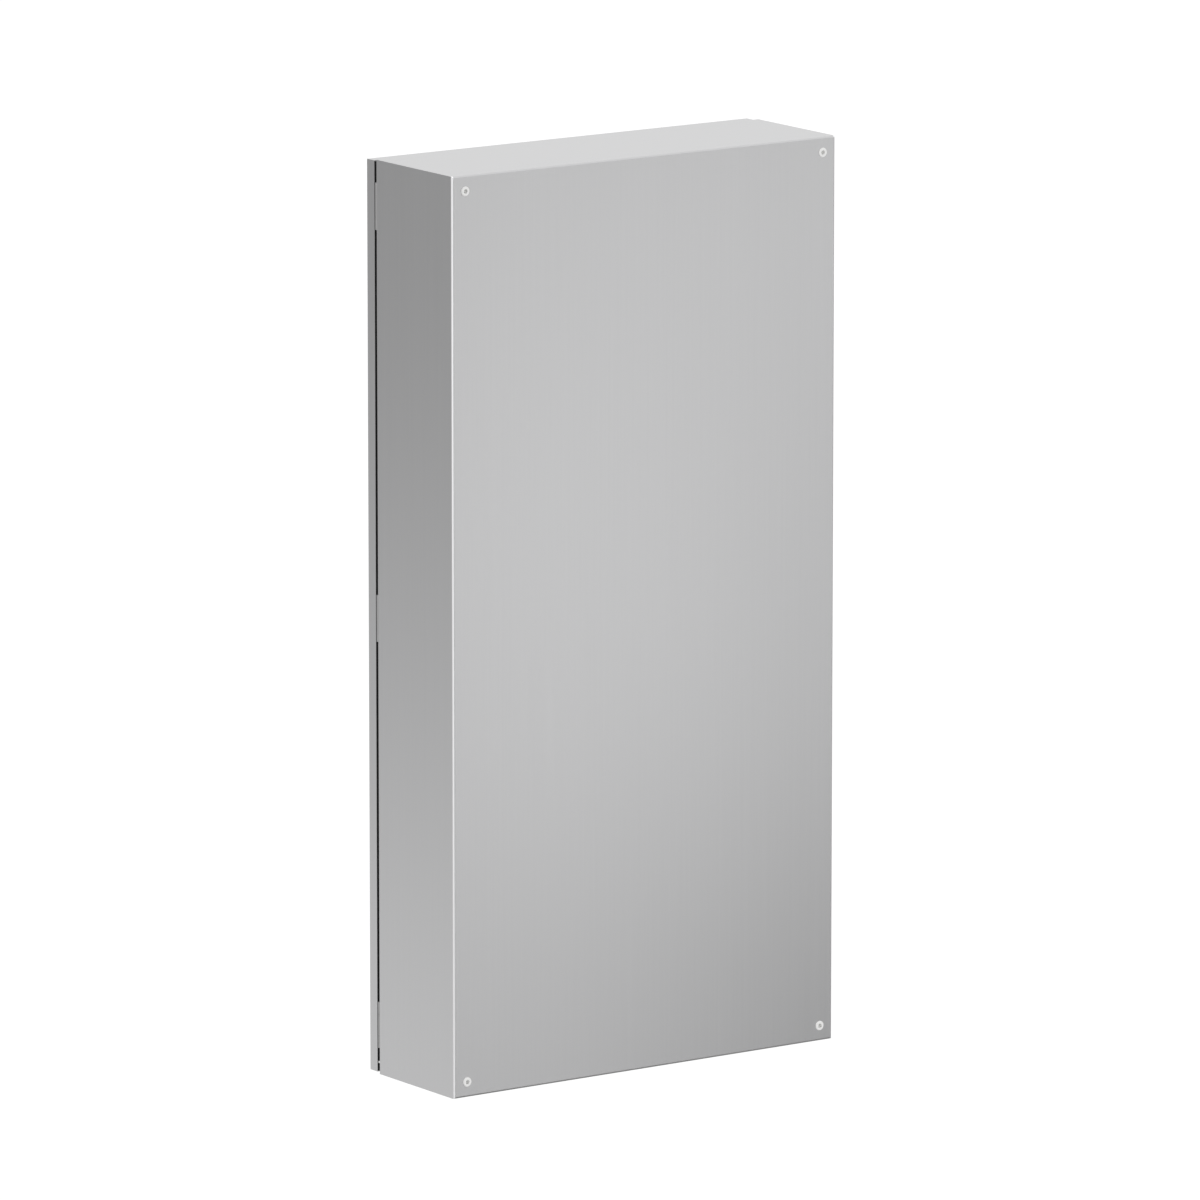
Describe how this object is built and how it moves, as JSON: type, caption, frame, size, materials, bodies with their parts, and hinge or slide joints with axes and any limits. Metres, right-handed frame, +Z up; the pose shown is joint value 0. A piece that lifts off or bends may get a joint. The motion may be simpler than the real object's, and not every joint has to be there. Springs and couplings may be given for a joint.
{
  "type": "mirror cabinet",
  "caption": "Wall-hung bathroom cabinet of satin steel sheet with a hinged mirror door, glass shelves on slotted strips and a touch latch.",
  "frame": {"origin": "middle of the four wall fixings, in the plane where their heads meet the wall", "axes": "+X to the right as seen from the front, +Y into the wall, +Z up; the door faces -Y and hinges at +X"},
  "size_m": [0.4, 0.1311, 0.8],
  "materials": {
    "body_steel": "satin, grain along the length",
    "bright_steel": "bright turned",
    "hinge_steel": "fine satin",
    "strike_steel": "zinc plated",
    "mirror": "silvered glass",
    "shelf_glass": "toughened, polished edges",
    "clear_plastic": "clear soft plastic",
    "core_board": "foamed board",
    "tape": "foam tape",
    "sealant": "translucent sealant",
    "setting_block": "hard rubber",
    "latch_plastic": "moulded",
    "magnet": "ground",
    "spring_steel": "drawn wire"
  },
  "bodies": {
    "cabinet": {"cabinet_body": "body_steel", "wall_bushes": "latch_plastic", "stiffener_plates": "hinge_steel", "strip_left_front": "hinge_steel", "strip_left_rear": "hinge_steel", "strip_right_front": "hinge_steel", "strip_right_rear": "hinge_steel", "shelf_lower": "shelf_glass", "shelf_middle": "shelf_glass", "shelf_upper": "shelf_glass", "shelf_pins": "bright_steel", "pin_sleeves": "clear_plastic", "hinge_bars_body": "hinge_steel", "hinge_screws_body": "bright_steel", "frame_leaf_lower": "hinge_steel", "frame_leaf_middle": "hinge_steel", "frame_leaf_upper": "hinge_steel", "hinge_pin_lower": "bright_steel", "hinge_pin_middle": "bright_steel", "hinge_pin_upper": "bright_steel", "latch_housing": "latch_plastic", "latch_cap": "latch_plastic", "latch_spring": "spring_steel", "latch_screws": "bright_steel", "door_buffers": "clear_plastic", "stop_pin": "latch_plastic"},
    "door": {"door_leaf_lower": "hinge_steel", "door_leaf_middle": "hinge_steel", "door_leaf_upper": "hinge_steel", "hinge_bars_door": "hinge_steel", "hinge_screws_door": "bright_steel", "door_pan": "body_steel", "door_core": "core_board", "mirror_tape": "tape", "mirror_glass": "mirror", "mirror_blocks": "setting_block", "mirror_bead": "sealant", "strike_plate": "strike_steel", "strike_rivets": "bright_steel"},
    "plunger": {"latch_plunger": "latch_plastic", "latch_magnet": "magnet"}
  },
  "joints": [
    {"name": "door_hinge", "type": "hinge", "parent": "cabinet", "child": "door", "pos_m": [0.19795, -0.1183, 0], "axis": [0, 0, 1], "range_deg": [0, 105]},
    {"name": "plunger_slide", "type": "slide", "parent": "cabinet", "child": "plunger", "axis": [0, 1, 0], "range_m": [0, 0.002], "stiffness_N_per_m": 600, "springref_m": -0.004, "deforming": ["latch_spring"]}
  ]
}
